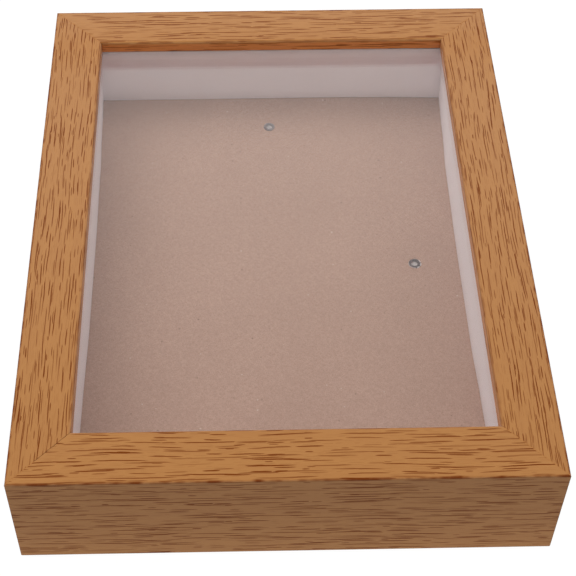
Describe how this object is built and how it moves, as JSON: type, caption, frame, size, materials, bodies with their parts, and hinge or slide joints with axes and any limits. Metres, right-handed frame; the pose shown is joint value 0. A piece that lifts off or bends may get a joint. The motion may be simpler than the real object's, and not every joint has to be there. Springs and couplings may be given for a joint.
{
  "type": "shadow box frame",
  "caption": "Deep mitred frame with a glass front, white spacer strips and a recessed backing board, hung upright or sideways by hinged rings on its back.",
  "frame": {"origin": "middle of the back plane, on which the frame lies", "axes": "+Z out of the glass front, +Y to the top of an upright picture, +X to its right"},
  "size_m": [0.182, 0.234, 0.046],
  "materials": {
    "oak_foil": "satin printed wood foil on a fibreboard moulding",
    "glass": "clear polished float glass",
    "spacer_white": "matt white",
    "hardboard": "smooth pinkish brown hardboard",
    "zinc_steel": "bright zinc plate",
    "dark_steel": "dull rolled steel",
    "tab_steel": "blued spring steel strip"
  },
  "bodies": {
    "case": {"bottom_rail": "oak_foil", "bottom_spacer": "spacer_white", "right_rail": "oak_foil", "right_spacer": "spacer_white", "top_rail": "oak_foil", "top_spacer": "spacer_white", "left_rail": "oak_foil", "left_spacer": "spacer_white", "glass_pane": "glass", "backing_board": "hardboard", "corner_wedges": "tab_steel", "tab_anchors": "tab_steel", "top_hanger_strap": "zinc_steel", "side_hanger_strap": "zinc_steel", "top_rivet": "dark_steel", "side_rivet": "dark_steel"},
    "top_ring": {"top_hanging_ring": "zinc_steel"},
    "side_ring": {"side_hanging_ring": "zinc_steel"},
    "bottom_tab_left": {"bottom_tab_left": "tab_steel"},
    "bottom_tab_right": {"bottom_tab_right": "tab_steel"},
    "right_tab_lower": {"right_tab_lower": "tab_steel"},
    "right_tab_upper": {"right_tab_upper": "tab_steel"},
    "top_tab_right": {"top_tab_right": "tab_steel"},
    "top_tab_left": {"top_tab_left": "tab_steel"},
    "left_tab_upper": {"left_tab_upper": "tab_steel"},
    "left_tab_lower": {"left_tab_lower": "tab_steel"}
  },
  "joints": [
    {"name": "top_ring_swing", "type": "hinge", "parent": "case", "child": "top_ring", "pos_m": [-0.0012, 0.0875, 0.00725], "axis": [-1, 0, 0], "range_deg": [0, 150]},
    {"name": "side_ring_swing", "type": "hinge", "parent": "case", "child": "side_ring", "pos_m": [0.0615, 0.0021, 0.00725], "axis": [0, 1, 0], "range_deg": [0, 150]},
    {"name": "bottom_tab_left_bend", "type": "hinge", "parent": "case", "child": "bottom_tab_left", "pos_m": [-0.04, -0.1025, 0.00868], "axis": [-1, 0, 0], "range_deg": [0, 80]},
    {"name": "bottom_tab_right_bend", "type": "hinge", "parent": "case", "child": "bottom_tab_right", "pos_m": [0.04, -0.1025, 0.00868], "axis": [-1, 0, 0], "range_deg": [0, 80]},
    {"name": "right_tab_lower_bend", "type": "hinge", "parent": "case", "child": "right_tab_lower", "pos_m": [0.0765, -0.06, 0.00868], "axis": [0, -1, 0], "range_deg": [0, 80]},
    {"name": "right_tab_upper_bend", "type": "hinge", "parent": "case", "child": "right_tab_upper", "pos_m": [0.0765, 0.06, 0.00868], "axis": [0, -1, 0], "range_deg": [0, 80]},
    {"name": "top_tab_right_bend", "type": "hinge", "parent": "case", "child": "top_tab_right", "pos_m": [0.04, 0.1025, 0.00868], "axis": [1, 0, 0], "range_deg": [0, 80]},
    {"name": "top_tab_left_bend", "type": "hinge", "parent": "case", "child": "top_tab_left", "pos_m": [-0.04, 0.1025, 0.00868], "axis": [1, 0, 0], "range_deg": [0, 80]},
    {"name": "left_tab_upper_bend", "type": "hinge", "parent": "case", "child": "left_tab_upper", "pos_m": [-0.0765, 0.06, 0.00868], "axis": [0, 1, 0], "range_deg": [0, 80]},
    {"name": "left_tab_lower_bend", "type": "hinge", "parent": "case", "child": "left_tab_lower", "pos_m": [-0.0765, -0.06, 0.00868], "axis": [0, 1, 0], "range_deg": [0, 80]}
  ]
}
